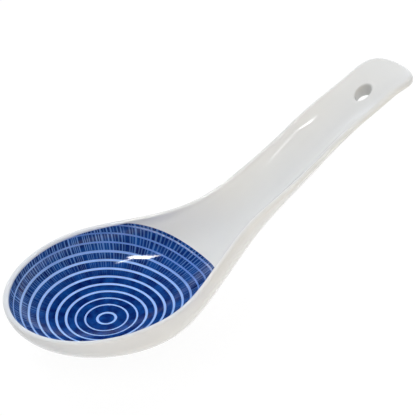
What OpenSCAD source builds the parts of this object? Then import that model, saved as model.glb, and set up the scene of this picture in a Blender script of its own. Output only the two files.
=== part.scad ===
// Chinese soup spoon in one piece of glazed porcelain. A deep oval bowl tapers through its neck
// into a hollowed handle, which has a hanging hole and a tip that turns down. Concentric bands of
// cobalt blue are printed on the inside of the bowl.
// Millimetres. The handle rises along +X, +Z is up, and the origin is the centre of the foot.

/* [Bowl] */
// Width of the bowl between the inner edges of its rim, at its widest place
bowl_w = 47.5; // [40:0.5:52]
// Length of the bowl's round front, from the widest place to the inner edge of the front rim
bowl_front = 27.2; // [22:0.2:30]
// Depth of the bowl below its rim
bowl_depth = 11.6; // [8:0.2:14]
// Length of level floor behind the widest place
floor_flat = 2.5; // [0:0.5:8]
// Slope of that floor when the spoon stands on its foot, in degrees
floor_slope = 4; // [2:0.5:6]

/* [Neck and handle] */
// Distance along the floor from the bowl's widest place to the narrowest place of the neck
neck_reach = 50.5; // [48:0.5:64]
// Width of the neck there, between the inner edges of its rim
neck_w = 16.2; // [12:0.2:20]
// Radius of the sweep that carries the floor up into the handle
sweep_r = 80; // [66:1:92]
// Angle of that sweep, in degrees
sweep_angle = 27; // [22:0.2:32]
// Depth of the channel in the upper face of the handle
channel_depth = 3; // [1.5:0.1:3.5]
// Distance along the floor over which the rim falls from the bowl's depth to the channel's
rim_reach = 73.5; // [64:1:80]

/* [Tip of the handle] */
// Distance along the floor from the bowl's widest place to the end of the straight sides
side_reach = 101; // [99:0.5:106]
// Distance along the floor from there back to the start of the downward turn
hook_reach = 5; // [2:0.5:11]
// Radius of the downward turn
hook_r = 13.8; // [10:0.2:18]
// Length of the rounded end beyond the straight sides
tip_l = 6; // [5:0.1:9]
// Width of the tip between the inner edges of its rim
tip_w = 15; // [12:0.2:20]
// Depth of the channel where the rounded end starts
tip_depth = 0.4; // [0.1:0.1:1]

/* [Wall] */
// Thickness of the rim
rim_t = 1.5; // [1.4:0.1:2.6]
// Distance along the floor from the bowl's widest place to the lowest place of the underside
keel_reach = 18.2; // [12:0.2:20]
// Thickness under the floor there
keel_t = 6.5; // [4.5:0.1:7.5]
// Thickness of the handle along its middle
handle_t = 3.7; // [2.8:0.1:4.5]

/* [Foot] */
// Distance along the floor from the bowl's widest place to the middle of the foot
foot_reach = 12; // [8:0.5:16]
// Length of the oval foot
foot_l = 30; // [26:0.5:34]
// Width of the oval foot
foot_w = 16; // [13:0.5:19]
// Width of the bevel round the edge of the foot
foot_bevel = 0.4; // [0.2:0.1:0.6]
// Height of the underside's lowest place above the table
foot_h = 0.6; // [0.5:0.1:1.5]
// How far the foot flares out at its root in the wall
foot_flare = 2.4; // [1.5:0.1:3]
// How much further its heel slopes back, under the neck
foot_heel = 6; // [3:0.5:7]

/* [Hanging hole] */
// Distance along the floor from the end of the straight sides back to the middle of the hole
hole_reach = 8; // [6:0.5:15]
// Diameter of the hole
hole_d = 4.4; // [3:0.1:5.5]

/* [Print] */
// Distance from the bowl's widest place forward to the middle of the print
print_forward = 2.2; // [0:0.1:3]
// Radius of the print's centre disc
dot_r = 2.1; // [1.5:0.1:3]
// Distance over the porcelain from the middle of the print to its second white line
second_line_r = 5.7; // [4.5:0.1:6]
// Distance from each further white line to the next
line_step = 2.55; // [2:0.05:2.6]
// Width of the white lines
line_w = 0.9; // [0.4:0.05:1.2]
// Width of the second and third white lines, which are finer
fine_line_w = 0.6; // [0.3:0.05:0.9]
// Number of blue bands round the centre disc
band_count = 12; // [4:1:12]
// Width of the outermost band
edge_w = 0.7; // [0.5:0.1:2]
// Thickness of the print
print_t = 0.15; // [0.1:0.01:0.2]
// Gap between the print and the inner edge of the rim
print_margin = 0.3; // [0.2:0.1:1]

/* [Hidden] */
band_names = [for (k = [1:band_count]) str("print_band_", k)];

// Exponent of the handle's hollow upper face and of its fuller underside
channel_share = 2;
belly_share = 2.3;

// Facets of a quarter of the bowl's front, of each side and of a quarter of the tip
front_steps = 12;
side_steps = 40;
tip_steps = 8;
// Facets from the middle of a face to its rim, over the rounded rim, and round an oval
face_steps = 12;
rim_steps = 4;
oval_steps = 48;
hole_steps = 48;

// Facets round a ring of the print, and steps of its measure along each ray. The disc and the first
// few bands are drawn on fewer rays.
turn_steps = 72;
ray_steps = 14;
dot_step = 3;
near_step = 2;
near_count = 3;
// Halvings by which a ray's place on the rim is found, and the nudge that finds a slope
halvings = 20;
nudge = 0.05;

// How far the foot's root lies below the floor, as a share of the wall, the exponent of its hollow
// side, the heights between its edge and its root at which that side has a loop, and the loops that
// close its top
root_share = 0.4;
hollow_share = 1.4;
side_shares = [0.25, 0.5, 0.75];
crown_shares = [1, 0.7, 0.35];

// Overrun of every cut
cut = 1;

// Soft step from 0 to 1, and soft fall from 1 to 0
function limit(t) = min(max(t, 0), 1);
function rise(t) = let (u = limit(t)) u * u * (3 - 2 * u);
function fall(t) = 0.5 + 0.5 * cos(180 * limit(t));

// The floor line, seen from the side: level floor, sweep up, straight handle, turn down.
// Each point is its x, its z and its slope in degrees at a distance s along the line.
sweep_l = sweep_r * sweep_angle * PI / 180;
sweep_end = floor_flat + sweep_l;
hook_start = side_reach - hook_reach;
hook_x = floor_flat + sweep_r * sin(sweep_angle) + (hook_start - sweep_end) * cos(sweep_angle);
hook_z = sweep_r * (1 - cos(sweep_angle)) + (hook_start - sweep_end) * sin(sweep_angle);
function floor_line(s) =
    s <= floor_flat ? [s, 0, 0] :
    s <= sweep_end ?
        let (a = (s - floor_flat) / sweep_r * 180 / PI)
        [floor_flat + sweep_r * sin(a), sweep_r * (1 - cos(a)), a] :
    s <= hook_start ?
        let (back = hook_start - s)
        [hook_x - back * cos(sweep_angle), hook_z - back * sin(sweep_angle), sweep_angle] :
        let (a = sweep_angle - (s - hook_start) / hook_r * 180 / PI)
        [hook_x + hook_r * (sin(sweep_angle) - sin(a)), hook_z + hook_r * (cos(a) - cos(sweep_angle)), a];

// Half of the inner width, the depth of the hollow and the thickness below it, along the floor line
function half_w(s) =
    s < neck_reach ? (neck_w + (bowl_w - neck_w) * fall(s / neck_reach)) / 2 :
    (neck_w + (tip_w - neck_w) * rise((s - neck_reach) / (side_reach - neck_reach))) / 2;
function depth(s) =
    let (held = channel_depth + (bowl_depth - channel_depth) * fall(s / rim_reach))
    let (end = rise((s - rim_reach) / (side_reach - rim_reach)))
    held + (tip_depth - held) * end;
function under(s) = handle_t + (keel_t - handle_t) * fall((s - keel_reach) / (rim_reach - keel_reach));

// Shares of the way from the middle of a face to its rim, closer together near the rim
function shares(i) = sin(90 * i / face_steps);

// Height of the inner and outer face at a share of the way from the middle to the rim.
// The bowl's wall is a round one, and the handle's is a shallow trough.
function wall(share) = 1 - sqrt(max(1 - share * share, 0));
function inner_h(s, share) =
    let (trough = rise(s / rim_reach))
    depth(s) * ((1 - trough) * wall(share) + trough * pow(share, channel_share));
function outer_h(s, rim_s, share) =
    let (trough = rise(s / rim_reach))
    let (bend = (1 - trough) * wall(share) + trough * pow(share, belly_share))
    (depth(rim_s) - edge_drop(rim_s) + under(s)) * bend - under(s);

// The rim is an arc. It is a half round on the bowl's steep wall. On the handle it starts later, at
// the angle at which it runs on from the slope of the trough, so its outer edge lies lower.
function edge_turn(s) = rise(s / rim_reach) * (90 - atan(channel_share * depth(s) / half_w(s)));
function edge_r(s) = rim_t / (1 + cos(edge_turn(s)));
function edge_drop(s) = edge_r(s) * sin(edge_turn(s));

// A point at a distance along the floor line, across it and above it, leaning as the spoon stands
function lean(s, y, h) =
    let (f = floor_line(s), x = f[0] - h * sin(f[2]), z = f[1] + h * cos(f[2]))
    [x * cos(floor_slope) - z * sin(floor_slope), y, x * sin(floor_slope) + z * cos(floor_slope)];

// The same point in the part's own frame, which has the middle of the foot at its origin
keel_line = [for (i = [0:face_steps])
    lean(keel_reach - shares(i) * (keel_reach + bowl_front), 0, outer_h(keel_reach, 0, shares(i)))];
stand = [-lean(foot_reach, 0, 0)[0], 0, foot_h - min([for (p = keel_line) p[2]])];
function place(s, y, h) = stand + lean(s, y, h);

// A point of the inner face at a distance along the floor line and across it, lowered into the wall
function inner_at(s, y) =
    s < 0 ? inner_h(0, norm([s / bowl_front, 2 * y / bowl_w])) : inner_h(s, abs(y) / half_w(s));
function porcelain(s, y, below) = place(s, y, inner_at(s, y) - below);

// The outline of a face, as columns of a place on the floor line and a place on the rim: along one
// side from the front to the tip, then back along the other. Turn is 0 at the inner edge of the rim,
// which widens the outline by nothing, and 1 at its outer edge.
function widening(s, turn) =
    let (a = edge_turn(s))
    edge_r(s) * (cos(a) - cos(a + turn * (180 - a)));
function near_columns(turn) =
    let (front = widening(0, turn), tip = widening(side_reach, turn))
    concat(
        [for (i = [0:front_steps - 1])
            let (t = 90 * i / front_steps)
            [0, -(bowl_front + front) * cos(t), (bowl_w / 2 + front) * sin(t)]],
        [for (i = [0:side_steps])
            let (s = side_reach * i / side_steps)
            [s, s, half_w(s) + widening(s, turn)]],
        [for (i = [1:tip_steps])
            let (t = 90 * i / tip_steps)
            [side_reach, side_reach + (tip_l + tip) * sin(t), (tip_w / 2 + tip) * cos(t)]]);
last = front_steps + side_steps + tip_steps;
function columns(turn) =
    let (near = near_columns(turn))
    concat(near, [for (j = [last - 1:-1:1]) [near[j][0], near[j][1], -near[j][2]]]);
column_count = 2 * last;

// One loop of a face at a share of the way from the floor line to the rim
function inner_loop(share) =
    [for (c = columns(0)) place(c[0] + share * (c[1] - c[0]), share * c[2], inner_h(c[0], share))];
function outer_loop(share) =
    [for (c = columns(1))
        let (middle = max(c[0], keel_reach))
        place(middle + share * (c[1] - middle), share * c[2], outer_h(middle, c[0], share))];
// One loop over the rounded rim, at a share of the turn from its inner edge to its outer edge
function rim_loop(turn) =
    [for (c = columns(turn))
        let (s = c[0], a = edge_turn(s) + turn * (180 - edge_turn(s)))
        place(c[1], c[2], depth(s) - edge_drop(s) + edge_r(s) * sin(a))];

// The seam is where a face closes along the floor line. Columns of the round front and the round
// tip meet in its two ends, and each pair of side columns shares one of its points.
function seam_index(j) =
    let (k = j <= last ? j : column_count - j)
    min(max(k - front_steps, 0), side_steps);
function inner_seam() = [for (i = [0:side_steps]) place(side_reach * i / side_steps, 0, 0)];
function outer_seam() = [
    for (i = [0:side_steps])
        let (s = max(side_reach * i / side_steps, keel_reach))
        place(s, 0, -under(s))];

// The faces between two loops of equal count, and those from a loop to its seam
function band_faces(a, b, n) =
    [for (j = [0:n - 1])
        let (k = (j + 1) % n)
        each [[a + j, a + k, b + k], [a + j, b + k, b + j]]];
function seam_faces(a, seam_start, turned) =
    [for (j = [0:column_count - 1])
        let (k = (j + 1) % column_count, p = seam_start + seam_index(j), q = seam_start + seam_index(k))
        each concat(
            turned ? [[a + k, a + j, p]] : [[a + j, a + k, p]],
            p == q ? [] : turned ? [[a + k, p, q]] : [[a + k, q, p]])];

// Bowl, neck and handle: the inner face, the rounded rim and the outer face as one closed skin
module shell() {
    n = column_count;
    loops = concat(
        [for (i = [1:face_steps]) inner_loop(shares(i))],
        [for (i = [1:rim_steps - 1]) rim_loop(i / rim_steps)],
        [for (i = [face_steps:-1:1]) outer_loop(shares(i))]);
    seam_start = len(loops) * n;
    points = concat([for (l = loops) each l], inner_seam(), outer_seam());
    skin = [for (i = [0:len(loops) - 2]) each band_faces((i + 1) * n, i * n, n)];
    upper = seam_faces(0, seam_start, false);
    lower = seam_faces(seam_start - n, seam_start + side_steps + 1, true);
    polyhedron(points = points, faces = concat(skin, upper, lower), convexity = 6);
}

// The foot: a flat oval with a bevelled edge. Its side flares up to a root inside the wall, and the
// heel slopes back further than the rest.
function oval(l, w) =
    [for (i = [0:oval_steps - 1]) let (t = 360 * i / oval_steps) [l / 2 * cos(t), w / 2 * sin(t)]];
function flat_loop(inset, z) =
    [for (p = oval(foot_l - 2 * inset, foot_w - 2 * inset)) [p[0], p[1], z]];
function root_loop(share) =
    [for (p = oval((foot_l + 2 * foot_flare) * share, (foot_w + 2 * foot_flare) * share))
        let (back = foot_heel * rise(2 * p[0] / foot_l))
        porcelain(foot_reach + p[0] + back, p[1], keel_t * root_share)];
function side_loop(share) =
    let (edge = flat_loop(0, foot_bevel), root = root_loop(1))
    let (out = pow(share, hollow_share))
    [for (i = [0:oval_steps - 1])
        let (a = edge[i], b = root[i])
        [a[0] + out * (b[0] - a[0]), a[1] + out * (b[1] - a[1]), a[2] + share * (b[2] - a[2])]];

module foot() {
    n = oval_steps;
    loops = concat(
        [flat_loop(foot_bevel, 0), flat_loop(0, foot_bevel)],
        [for (s = side_shares) side_loop(s)],
        [for (c = crown_shares) root_loop(c)]);
    crown = (len(loops) - 1) * n;
    middle = crown + n;
    points = concat([for (l = loops) each l], [porcelain(foot_reach, 0, keel_t * root_share), [0, 0, 0]]);
    sides = [for (i = [0:len(loops) - 2]) each band_faces((i + 1) * n, i * n, n)];
    top = [for (j = [0:n - 1]) [crown + (j + 1) % n, crown + j, middle]];
    bottom = [for (j = [0:n - 1]) [j, (j + 1) % n, middle + 1]];
    polyhedron(points = points, faces = concat(sides, top, bottom), convexity = 4);
}

// The hole is pierced straight down through the sloping handle, through its wall and its channel
module hanging_hole() {
    s = side_reach - hole_reach;
    slope = floor_line(s)[2] + floor_slope;
    spread = hole_d / 2 * tan(slope) + cut;
    below = under(s) / cos(slope) + spread;
    above = depth(s) / cos(slope) + spread;
    translate(place(s, 0, 0) - [0, 0, below])
        cylinder(h = below + above, d = hole_d, $fn = hole_steps);
}

module spoon_body() {
    color("#e9ebe8")
    difference() {
        union() {
            shell();
            foot();
        }
        hanging_hole();
    }
}

// The print. Its rings are drawn over the porcelain: each keeps one distance from the print's middle,
// measured along the surface, and stops short of the rim. A ray leaves the middle at an angle in plan.
function line_r(k) = k == 0 ? dot_r + line_w / 2 : second_line_r + (k - 1) * line_step;
function white_w(k) = k == 1 || k == 2 ? fine_line_w : line_w;
function band_inner(k) = line_r(k - 1) + white_w(k - 1) / 2;
function band_outer(k) = k < band_count ? line_r(k) - white_w(k) / 2 : band_inner(k) + edge_w;
print_r = band_outer(band_count);
function ray_place(turn, r) = [r * cos(turn) - print_forward, r * sin(turn)];
function rim_share(p) =
    p[0] < 0 ? norm([p[0] / bowl_front, 2 * p[1] / bowl_w]) : abs(p[1]) / half_w(p[0]);
function rim_radius(turn, low, high, left) =
    let (mid = (low + high) / 2)
    left == 0 ? low :
    rim_share(ray_place(turn, mid)) < 1 ? rim_radius(turn, mid, high, left - 1) :
    rim_radius(turn, low, mid, left - 1);

// Distances over the porcelain along a ray, each beside its radius in plan. The ray ends at the rim,
// or past the print's edge.
function ray_measure(turn) =
    let (edge = rim_radius(turn, 0, print_r + print_margin, halvings))
    let (radii = [for (i = [0:ray_steps]) edge * sin(90 * i / ray_steps)])
    let (points = [for (r = radii) let (q = ray_place(turn, r)) porcelain(q[0], q[1], 0)])
    let (steps = [for (i = [0:ray_steps]) i == 0 ? 0 : norm(points[i] - points[i - 1])])
    [for (i = 0, way = 0; i <= ray_steps; i = i + 1, way = way + (i > ray_steps ? 0 : steps[i]))
        [way, radii[i]]];
turns = [for (j = [0:turn_steps - 1]) 360 * j / turn_steps];
measures = [for (t = turns) ray_measure(t)];
function ray_end(j) = measures[j][ray_steps][0] - print_margin;

// A point of the print at a distance along a ray, lifted off the porcelain
function ink(j, way, lift) =
    let (q = ray_place(turns[j], lookup(way, measures[j])))
    let (along = porcelain(q[0] + nudge, q[1], 0) - porcelain(q[0] - nudge, q[1], 0))
    let (across = porcelain(q[0], q[1] + nudge, 0) - porcelain(q[0], q[1] - nudge, 0))
    let (up = cross(along, across))
    porcelain(q[0], q[1], 0) + up / norm(up) * lift;
function quad(a, b, c, d) = [[a, b, c], [a, c, d]];

// A blue ring between two distances, open where the rim leaves it less than its own thickness
module ink_ring(inner, outer, step) {
    rays = [for (j = [0:step:turn_steps - 1]) j];
    n = len(rays);
    there = [for (j = rays) min(outer, ray_end(j)) - inner > print_t];
    points = [for (j = rays)
        let (end = min(outer, max(ray_end(j), inner)))
        each [for (lift = [0, print_t], way = [inner, end]) ink(j, way, lift)]];
    faces = [for (i = [0:n - 1])
        let (k = (i + 1) % n, a = 4 * i, b = 4 * k)
        each concat(
            there[i] && there[k] ? concat(
                quad(a, a + 1, b + 1, b),
                quad(a + 2, b + 2, b + 3, a + 3),
                quad(a, b, b + 2, a + 2),
                quad(a + 1, a + 3, b + 3, b + 1)) : [],
            there[i] && !there[k] ? quad(a, a + 1, a + 3, a + 2) : [],
            !there[i] && there[k] ? quad(b, b + 2, b + 3, b + 1) : [])];
    polyhedron(points = points, faces = faces, convexity = 10);
}

module ink_disc(outer, step) {
    rays = [for (j = [0:step:turn_steps - 1]) j];
    n = len(rays);
    rim = [for (j = rays) each [ink(j, outer, 0), ink(j, outer, print_t)]];
    points = concat(rim, [ink(0, 0, 0), ink(0, 0, print_t)]);
    faces = [for (i = [0:n - 1])
        let (a = 2 * i, b = 2 * ((i + 1) % n))
        each concat([[a, b, 2 * n], [b + 1, a + 1, 2 * n + 1]], quad(a, a + 1, b + 1, b))];
    polyhedron(points = points, faces = faces, convexity = 2);
}

module print_dot() {
    color("#1b3f78") ink_disc(dot_r, dot_step);
}

module print_band(k) {
    step = k > near_count ? 1 : near_step;
    color("#1b3f78") ink_ring(band_inner(k), band_outer(k), step);
}

spoon_body();
print_dot();
for (k = [1:band_count])
    print_band(k);
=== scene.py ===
import math

import bmesh
import bpy
from mathutils import Matrix, Quaternion, Vector
from mathutils.bvhtree import BVHTree
from mathutils.interpolate import poly_3d_calc
from mathutils.kdtree import KDTree


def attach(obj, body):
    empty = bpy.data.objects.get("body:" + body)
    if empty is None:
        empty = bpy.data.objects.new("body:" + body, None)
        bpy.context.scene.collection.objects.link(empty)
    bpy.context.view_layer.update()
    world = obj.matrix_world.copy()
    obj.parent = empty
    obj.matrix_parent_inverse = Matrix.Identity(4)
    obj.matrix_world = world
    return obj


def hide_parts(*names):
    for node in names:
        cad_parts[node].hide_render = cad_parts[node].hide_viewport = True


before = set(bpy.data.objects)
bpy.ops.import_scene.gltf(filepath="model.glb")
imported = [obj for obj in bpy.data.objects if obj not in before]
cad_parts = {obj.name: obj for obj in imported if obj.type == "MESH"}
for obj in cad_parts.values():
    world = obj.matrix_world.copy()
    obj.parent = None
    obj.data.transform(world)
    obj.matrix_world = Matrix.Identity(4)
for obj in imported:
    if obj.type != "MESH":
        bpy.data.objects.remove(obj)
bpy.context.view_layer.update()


# Porcelain body. One piece of white clay, pressed in a mould, trimmed, pierced and fired under a
# clear glaze: bowl, neck, hollowed handle, turned-down tip, hanging hole and foot in one skin.
# Lengths are in millimetres along the floor line, which runs from the bowl's widest place.
MM = 0.001
BOWL_W, BOWL_FRONT, BOWL_DEPTH = 47.5, 27.2, 11.6
FLOOR_FLAT, FLOOR_SLOPE = 2.5, 4
NECK_REACH, NECK_W = 50.5, 16.2
SWEEP_R, SWEEP_ANGLE = 80, 27
CHANNEL_DEPTH, RIM_REACH = 3, 73.5
SIDE_REACH, HOOK_REACH, HOOK_R = 101, 5, 13.8
TIP_L, TIP_W, TIP_DEPTH = 6, 15, 0.4
RIM_T, BOWL_RIM_ROUND = 1.5, 0.6
KEEL_REACH, KEEL_T, HANDLE_T = 18.2, 6.5, 3.7
INNER_TROUGH, OUTER_TROUGH = 2, 2.3
STAND = (-11.9092, 5.86528)


def rise(t):
    """Eases from 0 to 1."""
    u = min(max(t, 0), 1)
    return u * u * (3 - 2 * u)


def fall(t):
    """Eases from 1 to 0."""
    return 0.5 + 0.5 * math.cos(math.pi * min(max(t, 0), 1))


def floor_line(s):
    """x, z and slope of the floor at a distance along it: level, sweep up, straight, turn down."""
    turn = math.radians(SWEEP_ANGLE)
    sweep_end = FLOOR_FLAT + SWEEP_R * turn
    hook_start = SIDE_REACH - HOOK_REACH
    hook_x = FLOOR_FLAT + SWEEP_R * math.sin(turn) + (hook_start - sweep_end) * math.cos(turn)
    hook_z = SWEEP_R * (1 - math.cos(turn)) + (hook_start - sweep_end) * math.sin(turn)
    if s <= FLOOR_FLAT:
        return s, 0, 0
    if s <= sweep_end:
        a = (s - FLOOR_FLAT) / SWEEP_R
        return FLOOR_FLAT + SWEEP_R * math.sin(a), SWEEP_R * (1 - math.cos(a)), a
    if s <= hook_start:
        back = hook_start - s
        return hook_x - back * math.cos(turn), hook_z - back * math.sin(turn), turn
    a = turn - (s - hook_start) / HOOK_R
    return (hook_x + HOOK_R * (math.sin(turn) - math.sin(a)),
            hook_z + HOOK_R * (math.cos(a) - math.cos(turn)), a)


def half_w(s):
    """Half of the inner width at a distance along the floor."""
    if s < NECK_REACH:
        return (NECK_W + (BOWL_W - NECK_W) * fall(s / NECK_REACH)) / 2
    return (NECK_W + (TIP_W - NECK_W) * rise((s - NECK_REACH) / (SIDE_REACH - NECK_REACH))) / 2


def depth(s):
    """The hollow's depth below the rim's inner edge."""
    held = CHANNEL_DEPTH + (BOWL_DEPTH - CHANNEL_DEPTH) * fall(s / RIM_REACH)
    return held + (TIP_DEPTH - held) * rise((s - RIM_REACH) / (SIDE_REACH - RIM_REACH))


def under(s):
    """The clay's thickness under the floor."""
    return HANDLE_T + (KEEL_T - HANDLE_T) * fall((s - KEEL_REACH) / (RIM_REACH - KEEL_REACH))


def wall(share):
    """A quarter round: 0 on the floor line and 1 at the rim."""
    return 1 - math.sqrt(max(1 - share * share, 0))


def inner_h(s, share):
    """The inner face's height over the floor, at a share of the way from the floor to the rim."""
    trough = rise(s / RIM_REACH)
    return depth(s) * ((1 - trough) * wall(share) + trough * share ** INNER_TROUGH)


def edge(s):
    """Where the rim's arc starts, its radius and how far its outer edge drops below its inner one."""
    a = rise(s / RIM_REACH) * (math.pi / 2 - math.atan(2 * depth(s) / half_w(s)))
    r = RIM_T / (1 + math.cos(a))
    return a, r, r * math.sin(a)


def outer_h(s, rim_s, share):
    """The outer face's height over the floor, at a share of the way from the keel to the rim."""
    trough = rise(s / RIM_REACH)
    bend = (1 - trough) * wall(share) + trough * share ** OUTER_TROUGH
    return (depth(rim_s) - edge(rim_s)[2] + under(s)) * bend - under(s)


def place(s, y, h):
    """A point at a distance along the floor, across it and above it, as the spoon stands."""
    x, z, a = floor_line(s)
    x, z = x - h * math.sin(a), z + h * math.cos(a)
    lean = math.radians(FLOOR_SLOPE)
    return Vector((x * math.cos(lean) - z * math.sin(lean) + STAND[0], y,
                   x * math.sin(lean) + z * math.cos(lean) + STAND[1]))


# Steps along the outline: round front, side, round tip. Then across: inner face, rim, outer face.
FRONT_STEPS, SIDE_STEPS, TIP_STEPS = 52, 132, 18
INNER_STEPS, RIM_STEPS, OUTER_STEPS = 34, 12, 34


def outline(i, turn):
    """Place on the floor line and place on the rim, for one step along the near half's outline. The
    turn goes from 0 at the rim's inner edge to 1 at its outer edge."""
    mid = SIDE_REACH * min(max(i - FRONT_STEPS, 0), SIDE_STEPS) / SIDE_STEPS
    a, r, _ = edge(mid)
    grow = r * (math.cos(a) - math.cos(a + turn * (math.pi - a)))
    if i < FRONT_STEPS:
        t = math.radians(90 * i / FRONT_STEPS)
        return 0, -(BOWL_FRONT + grow) * math.cos(t), (BOWL_W / 2 + grow) * math.sin(t)
    if i <= FRONT_STEPS + SIDE_STEPS:
        return mid, mid, half_w(mid) + grow
    t = math.radians(90 * (i - FRONT_STEPS - SIDE_STEPS) / TIP_STEPS)
    return SIDE_REACH, SIDE_REACH + (TIP_L + grow) * math.sin(t), (TIP_W / 2 + grow) * math.cos(t)


def skin_point(i, j):
    """The body's surface at a step along the outline and a step from the floor over the rim. The rim
    is a little flatter than a half round over the bowl."""
    if j <= INNER_STEPS:
        share = math.sin(math.radians(90 * j / INNER_STEPS))
        mid, s, y = outline(i, 0)
        return place(mid + share * (s - mid), share * y, inner_h(mid, share))
    if j < INNER_STEPS + RIM_STEPS:
        turn = (j - INNER_STEPS) / RIM_STEPS
        mid, s, y = outline(i, turn)
        a, r, drop = edge(mid)
        full = BOWL_RIM_ROUND + (1 - BOWL_RIM_ROUND) * rise(mid / RIM_REACH)
        arc, chord = full * r * math.sin(a + turn * (math.pi - a)), (1 - full) * r * math.sin(a)
        return place(s, y, depth(mid) - drop + arc + chord)
    share = math.cos(math.radians(90 * (j - INNER_STEPS - RIM_STEPS) / OUTER_STEPS))
    mid, s, y = outline(i, 1)
    low = max(mid, KEEL_REACH)
    return place(low + share * (s - low), share * y, outer_h(low, mid, share))


# The near half is one grid that is bent into the skin, and the far half is its mirror image.
columns = FRONT_STEPS + SIDE_STEPS + TIP_STEPS
rows = INNER_STEPS + RIM_STEPS + OUTER_STEPS
INSIDE, OUTSIDE, RIM = 0, 1, 2
MERGE = 0.001
bm = bmesh.new()
bmesh.ops.create_grid(bm, x_segments=columns, y_segments=rows, size=0.5)
face_of = bm.verts.layers.int.new("face_of")
for v in bm.verts:
    i, j = round((v.co.x + 0.5) * columns), round((v.co.y + 0.5) * rows)
    v[face_of] = INSIDE if j < INNER_STEPS else OUTSIDE if j > INNER_STEPS + RIM_STEPS else RIM
    v.co = skin_point(i, j)
bmesh.ops.remove_doubles(bm, verts=bm.verts, dist=MERGE)
bmesh.ops.mirror(bm, geom=bm.verts[:] + bm.edges[:] + bm.faces[:], axis="Y", merge_dist=MERGE)
bmesh.ops.recalc_face_normals(bm, faces=bm.faces)


def soften(bm, verts):
    """One pass of smoothing."""
    bmesh.ops.smooth_vert(bm, verts=verts, factor=0.5, use_axis_x=True, use_axis_y=True,
                          use_axis_z=True)


# The glaze softens the line where the wall of the neck meets its rim.
NECK_X, NECK_Z, NECK_PASSES = 12, 16, 9
neck = [v for v in bm.verts if v.co.x > NECK_X and v.co.z > NECK_Z]
for _ in range(NECK_PASSES):
    soften(bm, neck)
smooth_skin = BVHTree.FromBMesh(bm)
OPENING_PASSES = 6


def open_skin(bm, face, inside, rings):
    """Cuts a region out of one face, lays the cut's edge on the first ring, evens out the skin beside
    it and extrudes the other rings. Gives the last ring's edges."""
    open_before = {e for e in bm.edges if e.is_boundary}
    cut = [f for f in bm.faces if all(v[face_of] == face and inside(v.co) for v in f.verts)]
    bmesh.ops.delete(bm, geom=cut, context="FACES")
    edges = [e for e in bm.edges if e.is_boundary and e not in open_before]
    verts = list({v for e in edges for v in e.verts})
    for v in verts:
        v.co = rings[0](v.co)
    near = {w for v in verts for f in v.link_faces for w in f.verts} - set(verts)
    near |= {w for v in near for f in v.link_faces for w in f.verts} - set(verts)
    for _ in range(OPENING_PASSES):
        soften(bm, list(near))
        for v in near:
            v.co = smooth_skin.find_nearest(v.co)[0]
    for ring in rings[1:]:
        made = bmesh.ops.extrude_edge_only(bm, edges=edges)["geom"]
        edges = [g for g in made if isinstance(g, bmesh.types.BMEdge)]
        for v in {v for e in edges for v in e.verts}:
            v.co = ring(v.co)
    return edges


# The hole is pierced straight down through the sloping handle, and the glaze rounds its two mouths.
HOLE_REACH, HOLE_R, UPPER_MOUTH_R = 8, 2.2, 0.6
LOWER_MOUTH_R = 1.5 * UPPER_MOUTH_R
HOLE_MARGIN, PROBE_H = 0.35, 10
MOUTH_ANGLES = [math.radians(a) for a in (0, 15, 30, 45, 60, 75, 90)]
hole_at = place(SIDE_REACH - HOLE_REACH, 0, 0)


def hole_ring(side, a):
    """A ring of the upper (1) or lower (-1) mouth: a is 0 on the handle's face and 90 degrees where
    the bore starts."""
    round_r = UPPER_MOUTH_R if side > 0 else LOWER_MOUTH_R

    def ring(p):
        t = math.atan2(p.y, p.x - hole_at.x)
        out = Vector((math.cos(t), math.sin(t), 0))
        far = hole_at + out * (HOLE_R + round_r)
        probe = far + Vector((0, 0, PROBE_H * side))
        top = smooth_skin.ray_cast(probe, Vector((0, 0, -side)))[0].z
        near = hole_at + out * (HOLE_R + round_r * (1 - math.sin(a)))
        return Vector((near.x, near.y, top - side * round_r * (1 - math.cos(a))))
    return ring


def in_hole(p):
    """The skin that is taken out for the hole and its mouths."""
    return math.hypot(p.x - hole_at.x, p.y) < HOLE_R + LOWER_MOUTH_R + HOLE_MARGIN


upper_mouth = open_skin(bm, INSIDE, in_hole, [hole_ring(1, a) for a in MOUTH_ANGLES])
lower_mouth = open_skin(bm, OUTSIDE, in_hole, [hole_ring(-1, a) for a in MOUTH_ANGLES])
bmesh.ops.bridge_loops(bm, edges=upper_mouth + lower_mouth)

# The foot is a flat oval whose side flares up into the bowl, with a sloping heel under the neck.
FOOT_L, FOOT_W, FOOT_BEVEL, FOOT_FLARE, FOOT_HEEL = 30, 16, 0.4, 2.4, 6
SIDE_SPREAD, HEEL_SPREAD, CORNER_SHARE = 0.6 * FOOT_FLARE, 0.75 * FOOT_HEEL, 0.22
FOOT_MARGIN, FLARE_STEPS, SOLE_INSETS = 0.4, 8, (0.8, 1.8, 3.2, 5)
BEVEL_ANGLES = [math.radians(a) for a in (22, 45, 67, 90)]
BELOW_FOOT = -5


def underside(p):
    """The bowl's outer face straight above or below a point."""
    return smooth_skin.ray_cast(Vector((p.x, p.y, BELOW_FOOT)), Vector((0, 0, 1)))[0]


def foot_ring(up, inset=0.0, height=0.0):
    """A ring round the foot: up is 1 on the bowl's underside and 0 at the foot's edge."""
    def ring(p):
        t = math.atan2(p.y / FOOT_W, p.x / FOOT_L)
        sole_edge = Vector(((FOOT_L / 2 - inset) * math.cos(t), (FOOT_W / 2 - inset) * math.sin(t),
                            height))
        if up == 0:
            return sole_edge
        flare = SIDE_SPREAD + HEEL_SPREAD * rise(math.cos(t))
        root = underside(sole_edge + Vector((flare * math.cos(t), SIDE_SPREAD * math.sin(t), 0)))
        corner = underside(sole_edge.lerp(root, CORNER_SHARE))
        sole_edge.z = FOOT_BEVEL
        return sole_edge * (1 - up) ** 2 + corner * 2 * up * (1 - up) + root * up ** 2
    return ring


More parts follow.
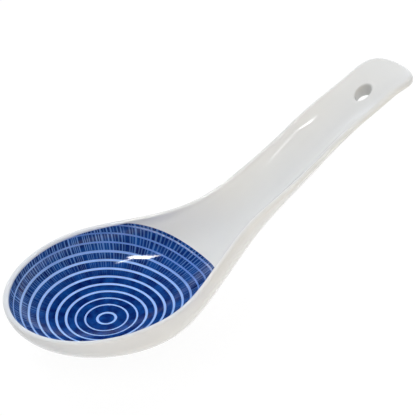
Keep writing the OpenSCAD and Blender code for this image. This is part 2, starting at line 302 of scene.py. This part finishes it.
def in_foot(p):
    """The skin that is taken out for the foot, a little wider than its flare."""
    side = SIDE_SPREAD + FOOT_MARGIN
    heel = HEEL_SPREAD * rise(2 * p.x / FOOT_L) if p.x > 0 else 0
    return Vector((p.x / (FOOT_L / 2 + side + heel), p.y / (FOOT_W / 2 + side))).length < 1


foot_rings = ([foot_ring(k / FLARE_STEPS) for k in range(FLARE_STEPS, 0, -1)]
              + [foot_ring(0, 0, FOOT_BEVEL)]
              + [foot_ring(0, FOOT_BEVEL * (1 - math.cos(a)), FOOT_BEVEL * (1 - math.sin(a)))
                 for a in BEVEL_ANGLES]
              + [foot_ring(0, inset) for inset in SOLE_INSETS])
sole = open_skin(bm, OUTSIDE, in_foot, foot_rings)
bmesh.ops.edgeloop_fill(bm, edges=sole)
bmesh.ops.recalc_face_normals(bm, faces=bm.faces)


def as_piece(name, bm):
    """The finished mesh as an object at the origin, in metres and shaded smooth."""
    bmesh.ops.scale(bm, vec=(MM, MM, MM), verts=bm.verts)
    for f in bm.faces:
        f.smooth = True
    mesh = bpy.data.meshes.new(name)
    bm.to_mesh(mesh)
    bm.free()
    piece = bpy.data.objects.new(name, mesh)
    bpy.context.scene.collection.objects.link(piece)
    return piece


def srgb(hex_colour):
    """An sRGB hex value as the linear colour that a shader takes."""
    parts = [int(hex_colour[i:i + 2], 16) / 255 for i in (1, 3, 5)]
    return (*[p / 12.92 if p <= 0.04045 else ((p + 0.055) / 1.055) ** 2.4 for p in parts], 1)


def bare_tree(owner):
    """The emptied node tree of a material or of the world."""
    owner.use_nodes = True
    owner.node_tree.nodes.clear()
    return owner.node_tree


def add_node(tree, kind, settings=None, **links):
    """Adds a node with its settings. Each link names an input, or gives its number after a _, and
    gives a value or another output."""
    node = tree.nodes.new(kind)
    for name, value in (settings or {}).items():
        setattr(node, name, value)
    for name, value in links.items():
        key = int(name[1:]) if name[0] == "_" and name[1:].isdigit() else name.replace("_", " ")
        if isinstance(value, bpy.types.NodeSocket):
            tree.links.new(value, node.inputs[key])
        else:
            node.inputs[key].default_value = value
    return node


# Hard-paste porcelain, cast white and fired under a clear lime glaze. It gives a smooth, wet-looking
# gloss over a faintly grey body, a soft waviness where the glaze ran, and a pale blue between the
# printed bands, where the cobalt bled. The bore of the hole is greyed with painted shade. The foot's
# sole was wiped, so it is bare, matt and warmer, up to a slightly ragged line. Sizes are in mm.
GLAZE_IOR, GLAZE_ROUGHNESS, SOLE_ROUGHNESS = 1.5, 0.06, 0.75
WAVE_L, WAVE_H, WAVE_STRENGTH = 7, 0.1, 0.2
CLOUD_L, GRIT_L, SOLE_LINE_H, SOLE_LINE_WANDER = 18, 0.8, 0.14, 0.12
BORE_PAINTED_SHADE = 0.3
EASED = {"interpolation_type": "SMOOTHSTEP"}
porcelain = bpy.data.materials.new("glazed_porcelain")
tree = bare_tree(porcelain)
place_in = add_node(tree, "ShaderNodeTexCoord").outputs["Object"]
cloud = add_node(tree, "ShaderNodeTexNoise", Vector=place_in, Scale=1 / (CLOUD_L * MM), Detail=2.0)
clay = add_node(tree, "ShaderNodeMixRGB", Fac=cloud.outputs["Fac"], Color1=srgb("#e9ebeb"),
                Color2=srgb("#f1f0ec"))
bled = add_node(tree, "ShaderNodeAttribute", {"attribute_name": "cobalt_bleed"})
washed = add_node(tree, "ShaderNodeAttribute", {"attribute_name": "cobalt_wash"})
line_blue = add_node(tree, "ShaderNodeMixRGB", Fac=washed.outputs["Fac"], Color1=srgb("#a4c8ff"),
                     Color2=srgb("#6890d8"))
lined = add_node(tree, "ShaderNodeMixRGB", Fac=bled.outputs["Fac"], Color1=clay.outputs[0],
                 Color2=line_blue.outputs[0])
from_hole = add_node(tree, "ShaderNodeVectorMath", {"operation": "SUBTRACT"}, _0=place_in,
                     _1=(hole_at.x * MM, 0, 0))
from_hole = add_node(tree, "ShaderNodeVectorMath", {"operation": "MULTIPLY"},
                     _0=from_hole.outputs[0], _1=(1, 1, 0))
from_hole = add_node(tree, "ShaderNodeVectorMath", {"operation": "LENGTH"}, _0=from_hole.outputs[0])
# Painted shade in the hole: the colour is greyed towards #8a8985 in the bore and fades out over the
# upper mouth.
painted_bore_shade = add_node(tree, "ShaderNodeMapRange", EASED, Value=from_hole.outputs["Value"],
                   From_Min=HOLE_R * MM, From_Max=(HOLE_R + UPPER_MOUTH_R) * MM, To_Min=BORE_PAINTED_SHADE,
                   To_Max=0)
lined_and_bore_shaded = add_node(tree, "ShaderNodeMixRGB", Fac=painted_bore_shade.outputs[0], Color1=lined.outputs[0],
                  Color2=srgb("#8a8985"))
level = add_node(tree, "ShaderNodeSeparateXYZ", Vector=place_in)
grit = add_node(tree, "ShaderNodeTexNoise", Vector=place_in, Scale=1 / (GRIT_L * MM), Detail=3.0)
ragged = add_node(tree, "ShaderNodeMath", {"operation": "MULTIPLY_ADD"}, _0=grit.outputs["Fac"],
                  _1=SOLE_LINE_WANDER * MM, _2=level.outputs["Z"])
bare = add_node(tree, "ShaderNodeMath", {"operation": "LESS_THAN"}, _0=ragged.outputs[0],
                _1=SOLE_LINE_H * MM)
colour = add_node(tree, "ShaderNodeMixRGB", Fac=bare.outputs[0], Color1=lined_and_bore_shaded.outputs[0],
                  Color2=srgb("#e3d9c9"))
gloss = add_node(tree, "ShaderNodeMapRange", Value=bare.outputs[0], To_Min=GLAZE_ROUGHNESS,
                 To_Max=SOLE_ROUGHNESS)
wave = add_node(tree, "ShaderNodeTexNoise", Vector=place_in, Scale=1 / (WAVE_L * MM), Detail=1.0)
relief = add_node(tree, "ShaderNodeMixRGB", Fac=bare.outputs[0], Color1=wave.outputs["Fac"],
                  Color2=grit.outputs["Fac"])
glaze = add_node(tree, "ShaderNodeBump", Height=relief.outputs[0], Strength=WAVE_STRENGTH,
                 Distance=WAVE_H * MM)
shader = add_node(tree, "ShaderNodeBsdfPrincipled", Base_Color=colour.outputs[0],
                  Roughness=gloss.outputs[0], IOR=GLAZE_IOR, Normal=glaze.outputs[0])
add_node(tree, "ShaderNodeOutputMaterial", Surface=shader.outputs[0])

body = as_piece("porcelain_body", bm)
body.data.materials.append(porcelain)
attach(body, "root")
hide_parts("spoon_body")


# Printed bands. Cobalt blue laid on the unglazed clay as a transfer, so each band is a film of colour
# fused under the glaze. Rings keep one distance from the print's middle, measured over the bowl.
PRINT_FORWARD, DOT_R, SECOND_LINE_R, LINE_STEP = 2.2, 2.1, 5.7, 2.55
LINE_W, FINE_LINE_W, BAND_COUNT, EDGE_W = 0.7, 0.5, 12, 0.8
FILM_T, PRINT_MARGIN, PRINT_REACH = 0.04, 0.1, 40
TURNS, FILM_ROWS, RAY_STEPS, RIM_HALVINGS = 180, 6, 60, 18
SLIVER_AREA, FILM_MERGE = 1e-5, 0.003


def rim_share(s, y):
    """How far a place in the bowl is on the way from its floor line to the rim, seen in plan."""
    return math.hypot(s / BOWL_FRONT, 2 * y / BOWL_W) if s < 0 else abs(y) / half_w(s)


def on_ray(t, r):
    """The place in the bowl at a turn round the print's middle and a radius, in plan."""
    return r * math.cos(t) - PRINT_FORWARD, r * math.sin(t)


def bowl_point(t, r):
    s, y = on_ray(t, r)
    return place(s, y, inner_h(max(s, 0), min(rim_share(s, y), 1)))


def measure(t):
    """Distances over the porcelain along a ray from the print's middle, with radii in plan."""
    low, high = 0, PRINT_REACH
    for _ in range(RIM_HALVINGS):
        mid = (low + high) / 2
        if rim_share(*on_ray(t, mid)) < 1:
            low = mid
        else:
            high = mid
    table, way, last = [(0, 0)], 0, bowl_point(t, 0)
    for k in range(1, RAY_STEPS + 1):
        r = low * math.sin(math.pi / 2 * k / RAY_STEPS)
        p = bowl_point(t, r)
        way += (p - last).length
        table.append((way, r))
        last = p
    return table


rays = [measure(2 * math.pi * k / TURNS) for k in range(TURNS)]


def radius_at(ray, way):
    """The radius in plan at a distance over the porcelain."""
    for (w0, r0), (w1, r1) in zip(ray, ray[1:]):
        if way <= w1:
            return r0 + (r1 - r0) * (way - w0) / max(w1 - w0, 1e-9)
    return ray[-1][1]


def line_r(k):
    """Distance from the print's middle to the middle of a white line."""
    return DOT_R + LINE_W / 2 if k == 0 else SECOND_LINE_R + (k - 1) * LINE_STEP


def line_w(k):
    """The second and third white line and those past the ninth are finer than the others."""
    return FINE_LINE_W if k in (1, 2) or k > 8 else LINE_W


# Cobalt oxide print under the same clear glaze. It gives a deep ultramarine, mottled where the ink
# lay thicker or thinner, and combed by fine radial lines, which grow clearer towards the print's
# edge and are fainter along the spoon's axis. The film's own map holds the turn round the print,
# from 0 to 1, and the distance from its middle, as a share of PRINT_REACH.
COMB_COUNT, COMB_WANDER, COMB_FROM, COMB_FULL = 176, 1.6, 14, 30
COMB_FAINT, COMB_CLEAR, AXIS_CALM, MOTTLE_L = 0.4, 0.95, 0.45, 3
cobalt = bpy.data.materials.new("cobalt_underglaze_print")
tree = bare_tree(cobalt)
place_in = add_node(tree, "ShaderNodeTexCoord").outputs["Object"]
polar_map = add_node(tree, "ShaderNodeUVMap", {"uv_map": "print_polar"})
polar = add_node(tree, "ShaderNodeSeparateXYZ", Vector=polar_map.outputs[0])
even = add_node(tree, "ShaderNodeMath", {"operation": "MULTIPLY"}, _0=polar.outputs["X"],
                _1=float(COMB_COUNT))
drift = add_node(tree, "ShaderNodeTexNoise", {"noise_dimensions": "1D"}, W=polar.outputs["X"],
                 Scale=70.0, Detail=1.0)
uneven = add_node(tree, "ShaderNodeMath", {"operation": "MULTIPLY_ADD"}, _0=drift.outputs["Fac"],
                  _1=COMB_WANDER, _2=even.outputs[0])
tooth = add_node(tree, "ShaderNodeMath", {"operation": "PINGPONG"}, _0=uneven.outputs[0], _1=0.5)
gap = add_node(tree, "ShaderNodeMapRange", EASED, Value=tooth.outputs[0], From_Min=0.24,
               From_Max=0.42)
worn = add_node(tree, "ShaderNodeTexNoise", {"noise_dimensions": "1D"}, W=polar.outputs["X"],
                Scale=95.0, Detail=1.0)
clear = add_node(tree, "ShaderNodeMapRange", Value=worn.outputs["Fac"], From_Min=0.35, From_Max=0.6,
                 To_Min=COMB_FAINT, To_Max=COMB_CLEAR)
zone = add_node(tree, "ShaderNodeMapRange", EASED, Value=polar.outputs["Y"],
                From_Min=COMB_FROM / PRINT_REACH, From_Max=COMB_FULL / PRINT_REACH)
aside = add_node(tree, "ShaderNodeMath", {"operation": "PINGPONG"}, _0=polar.outputs["X"], _1=0.5)
off_axis = add_node(tree, "ShaderNodeMapRange", EASED, Value=aside.outputs[0], From_Min=0.06,
                    From_Max=0.2, To_Min=AXIS_CALM, To_Max=1.0)
comb = gap
for part in (clear, zone, off_axis):
    comb = add_node(tree, "ShaderNodeMath", {"operation": "MULTIPLY"}, _0=comb.outputs[0],
                    _1=part.outputs[0])
mottle = add_node(tree, "ShaderNodeTexNoise", Vector=place_in, Scale=1 / (MOTTLE_L * MM), Detail=3.0)
thick = add_node(tree, "ShaderNodeMapRange", Value=mottle.outputs["Fac"], From_Min=0.35,
                 From_Max=0.65)
ink = add_node(tree, "ShaderNodeMixRGB", Fac=thick.outputs[0], Color1=srgb("#001c60"),
               Color2=srgb("#0c4490"))
colour = add_node(tree, "ShaderNodeMixRGB", Fac=comb.outputs[0], Color1=ink.outputs[0],
                  Color2=srgb("#84b2f4"))
wave = add_node(tree, "ShaderNodeTexNoise", Vector=place_in, Scale=1 / (WAVE_L * MM), Detail=1.0)
glaze = add_node(tree, "ShaderNodeBump", Height=wave.outputs["Fac"], Strength=WAVE_STRENGTH,
                 Distance=WAVE_H * MM)
shader = add_node(tree, "ShaderNodeBsdfPrincipled", Base_Color=colour.outputs[0],
                  Roughness=GLAZE_ROUGHNESS, IOR=GLAZE_IOR, Normal=glaze.outputs[0])
add_node(tree, "ShaderNodeOutputMaterial", Surface=shader.outputs[0])

skin_faces = BVHTree.FromPolygons([v.co for v in body.data.vertices],
                                  [f.vertices for f in body.data.polygons])


def skin_normal(v):
    """The porcelain's smooth normal beside a vertex of the film, so that one gloss runs over both."""
    at, _, index, _ = skin_faces.find_nearest(v.co)
    corners = [body.data.vertices[k] for k in body.data.polygons[index].vertices]
    weights = poly_3d_calc([c.co for c in corners], at)
    n = sum((c.normal * w for c, w in zip(corners, weights)), Vector()).normalized()
    return n if n.dot(v.normal) > 0 else -n


def film(name, node, inner, outer):
    """One band of ink between two distances, as a thin closed film that stops short of the rim."""
    bm = bmesh.new()
    bmesh.ops.create_grid(bm, x_segments=TURNS, y_segments=FILM_ROWS, size=0.5)
    polar = bm.loops.layers.uv.new("print_polar")
    lies = {}
    for v in bm.verts:
        k, share = round((v.co.x + 0.5) * TURNS), v.co.y + 0.5
        ray = rays[k % TURNS]
        end = ray[-1][0] - PRINT_MARGIN
        way = min(inner + (outer - inner) * share, max(end, inner))
        lies[v] = (k / TURNS, way / PRINT_REACH, way > end + MERGE)
        v.co = bowl_point(2 * math.pi * k / TURNS, radius_at(ray, min(way, end)))
    for f in bm.faces:
        for loop in f.loops:
            loop[polar].uv = lies[loop.vert][:2]
    beyond = [f for f in bm.faces
              if all(lies[v][2] for v in f.verts) or f.calc_area() < SLIVER_AREA]
    bmesh.ops.delete(bm, geom=beyond, context="FACES")
    bmesh.ops.remove_doubles(bm, verts=bm.verts, dist=FILM_MERGE)
    bmesh.ops.recalc_face_normals(bm, faces=bm.faces)
    if sum(f.normal.z for f in bm.faces) < 0:
        bmesh.ops.reverse_faces(bm, faces=bm.faces)
    for v in bm.verts:
        v.co += v.normal * FILM_T
    bmesh.ops.solidify(bm, geom=bm.verts[:] + bm.edges[:] + bm.faces[:], thickness=FILM_T)
    piece = as_piece(name, bm)
    normals = [skin_normal(v) for v in piece.data.vertices]
    piece.data.normals_split_custom_set_from_vertices(normals)
    piece.data.materials.append(cobalt)
    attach(piece, "root")
    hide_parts(node)
    return piece


films = [film("print_dot_ink", "print_dot", 0.0, DOT_R)]
for k in range(1, BAND_COUNT + 1):
    inner = line_r(k - 1) + line_w(k - 1) / 2
    outer = line_r(k) - line_w(k) / 2 if k < BAND_COUNT else inner + EDGE_W
    films.append(film(f"print_band_{k}_ink", f"print_band_{k}", inner, outer))

# The cobalt bleeds into the porcelain between the bands, and leaves a trace of blue on the lip. The
# outermost lines on the bowl's sides are the most washed over. The last, short band bleeds nowhere.
BLEED_REACH, BLEED_FADE, LIP_TRACE, LIP_FADE = 0.4, 0.6, 0.2, 2.4
WASH_R, WASH_FADE, WASH_FRONT, WASH_FRONT_FADE = 20, 6.5, 14, 12
inked = KDTree(sum(len(piece.data.vertices) for piece in films[:-1]))
for piece in films[:-1]:
    for v in piece.data.vertices:
        inked.insert(v.co, v.index)
inked.balance()
bleed = body.data.attributes.new("cobalt_bleed", "FLOAT", "POINT")
wash = body.data.attributes.new("cobalt_wash", "FLOAT", "POINT")
faces = body.data.attributes["face_of"]
for v in body.data.vertices:
    off = inked.find(v.co)[2] / MM
    out = v.co / MM - bowl_point(0, 0)
    if faces.data[v.index].value == INSIDE:
        bleed.data[v.index].value = 1 - rise((off - BLEED_REACH) / BLEED_FADE)
    else:
        bleed.data[v.index].value = LIP_TRACE * (1 - rise(off / LIP_FADE))
    wash.data[v.index].value = (rise((out.length - WASH_R) / WASH_FADE)
                                * rise((out.x + WASH_FRONT) / WASH_FRONT_FADE))


# Studio floor. A sheet of white paper that the camera and reflections see as almost plain white,
# with the spoon's shadow kept on it. From here on lengths are in metres.
FLOOR_HALF, PAPER_WHITE, WHITE_SHARE = 2, 1.03, 0.92
floor_mesh = bpy.data.meshes.new("studio_floor")
bm = bmesh.new()
bmesh.ops.create_grid(bm, x_segments=1, y_segments=1, size=FLOOR_HALF)
bm.to_mesh(floor_mesh)
bm.free()
floor = bpy.data.objects.new("studio_floor", floor_mesh)
bpy.context.scene.collection.objects.link(floor)
paper = bpy.data.materials.new("white_paper_sweep")
tree = bare_tree(paper)
matt = add_node(tree, "ShaderNodeBsdfDiffuse", Color=srgb("#f4f4f4"))
glow = add_node(tree, "ShaderNodeEmission", Color=(1, 1, 1, 1), Strength=PAPER_WHITE)
rays_in = add_node(tree, "ShaderNodeLightPath")
seen = add_node(tree, "ShaderNodeMath", {"operation": "MAXIMUM"},
                _0=rays_in.outputs["Is Camera Ray"], _1=rays_in.outputs["Is Glossy Ray"])
seen = add_node(tree, "ShaderNodeMath", {"operation": "MAXIMUM"}, _0=seen.outputs[0],
                _1=rays_in.outputs["Is Transmission Ray"])
white = add_node(tree, "ShaderNodeMath", {"operation": "MULTIPLY"}, _0=seen.outputs[0],
                 _1=WHITE_SHARE)
mix = add_node(tree, "ShaderNodeMixShader", Fac=white.outputs[0], _1=matt.outputs[0],
               _2=glow.outputs[0])
add_node(tree, "ShaderNodeOutputMaterial", Surface=mix.outputs[0])
floor_mesh.materials.append(paper)

# Studio surroundings. They light the spoon only faintly, are white to the camera, and give the
# glaze a pale horizon to reflect, which fades out upwards between two heights of the view.
AMBIENT, HORIZON, HORIZON_FROM, HORIZON_TO, BACKDROP_WHITE = 0.05, 0.95, 0.25, 0.5, 1.15
world = bpy.data.worlds.new("studio_surroundings")
bpy.context.scene.world = world
tree = bare_tree(world)
rays_in = add_node(tree, "ShaderNodeLightPath")
view = add_node(tree, "ShaderNodeTexCoord")
view_axes = add_node(tree, "ShaderNodeSeparateXYZ", Vector=view.outputs["Generated"])
horizon = add_node(tree, "ShaderNodeMapRange", EASED, Value=view_axes.outputs["Z"],
                   From_Min=HORIZON_FROM, From_Max=HORIZON_TO, To_Min=HORIZON, To_Max=0.0)
light = add_node(tree, "ShaderNodeMath", {"operation": "MULTIPLY_ADD"}, _0=horizon.outputs[0],
                 _1=rays_in.outputs["Is Glossy Ray"], _2=AMBIENT)
light = add_node(tree, "ShaderNodeMath", {"operation": "MULTIPLY_ADD"},
                 _0=rays_in.outputs["Is Camera Ray"], _1=BACKDROP_WHITE, _2=light.outputs[0])
around = add_node(tree, "ShaderNodeBackground", Color=srgb("#eef4ff"), Strength=light.outputs[0])
add_node(tree, "ShaderNodeOutputWorld", Surface=around.outputs[0])


def softbox(name, at, aim, width, height, power, turn=0.0, colour="#ffffff"):
    """A rectangular lamp that is aimed, then turned about its aim. The camera doesn't see it."""
    lamp = bpy.data.lights.new(name, "AREA")
    lamp.shape, lamp.size, lamp.size_y = "RECTANGLE", width, height
    lamp.energy, lamp.color = power, srgb(colour)[:3]
    holder = bpy.data.objects.new(name, lamp)
    holder.location = at
    facing = (Vector(aim) - Vector(at)).to_track_quat("-Z", "Y")
    holder.rotation_euler = (facing @ Quaternion((0, 0, 1), math.radians(turn))).to_euler()
    holder.visible_camera = False
    bpy.context.scene.collection.objects.link(holder)
    return holder


# Small lamps behind grids, so that each makes its highlight in one place: two for the bowl's far
# wall and one for the handle. The last number is the grid's spread in degrees.
for name, at, aim, width, height, power, turn, spread in (
        ("bowl_key", (-0.060, -0.002, 0.32), (0.004, 0.012, 0.011), 0.060, 0.015, 0.0014, -11.3, 20),
        ("bowl_tail", (-0.035, -0.006, 0.32), (0.001, 0.014, 0.011), 0.009, 0.040, 0.00026, -15, 20),
        ("handle_strip", (-0.046, -0.052, 0.32), (0.056, 0.006, 0.037), 0.009, 0.088, 0.00044, 43,
         18)):
    strip = softbox(name, at, aim, width, height, power, turn)
    strip.data.spread = math.radians(spread)

# Large soft lamps all round give the light itself. The glaze doesn't reflect them.
FILL_SIZE, FILL_AIM = 0.7, (0.02, 0, 0.02)
for name, at, power, colour in (("back_low", (0.68, 0.66, 0.36), 5.0, "#fbfcff"),
                                ("back_high", (0.02, 0.57, 0.84), 4.4, "#f8fbff"),
                                ("left_high", (-0.55, 0, 0.84), 3.1, "#fffbf8"),
                                ("front_low", (0.02, -0.94, 0.36), 3.7, "#fff0d8"),
                                ("front_high", (0.02, -0.57, 0.84), 2.2, "#e8f2ff")):
    fill = softbox(name, at, FILL_AIM, FILL_SIZE, FILL_SIZE, power, colour=colour)
    fill.visible_glossy = False

# Camera. It stands in front of the bowl, to its left, and looks down on it, a little tilted. Its own
# axes are side, across the picture, head, up the picture, and back, away from the spoon.
AZIMUTH, ELEVATION, ROLL = math.radians(-32), math.radians(33.233), math.radians(-3.091)
TARGET, DISTANCE = Vector((0.01948, 0, 0.02739)), 0.600
SENSOR_W, FOCAL_PX, PHOTO_PX = 36, 2246.7, 416
back = Vector((math.sin(AZIMUTH) * math.cos(ELEVATION), -math.cos(AZIMUTH) * math.cos(ELEVATION),
               math.sin(ELEVATION)))
right = Vector((math.cos(AZIMUTH), math.sin(AZIMUTH), 0))
up = back.cross(right)
side = right * math.cos(ROLL) + up * math.sin(ROLL)
head = up * math.cos(ROLL) - right * math.sin(ROLL)
camera = bpy.data.objects.new("camera", bpy.data.cameras.new("camera"))
camera.data.sensor_width = SENSOR_W
camera.data.lens = SENSOR_W * FOCAL_PX / PHOTO_PX
camera.matrix_world = Matrix((
    (side.x, head.x, back.x, TARGET.x + DISTANCE * back.x),
    (side.y, head.y, back.y, TARGET.y + DISTANCE * back.y),
    (side.z, head.z, back.z, TARGET.z + DISTANCE * back.z),
    (0, 0, 0, 1)))
bpy.context.scene.collection.objects.link(camera)
bpy.context.scene.camera = camera
bpy.context.scene.view_settings.view_transform = "Standard"
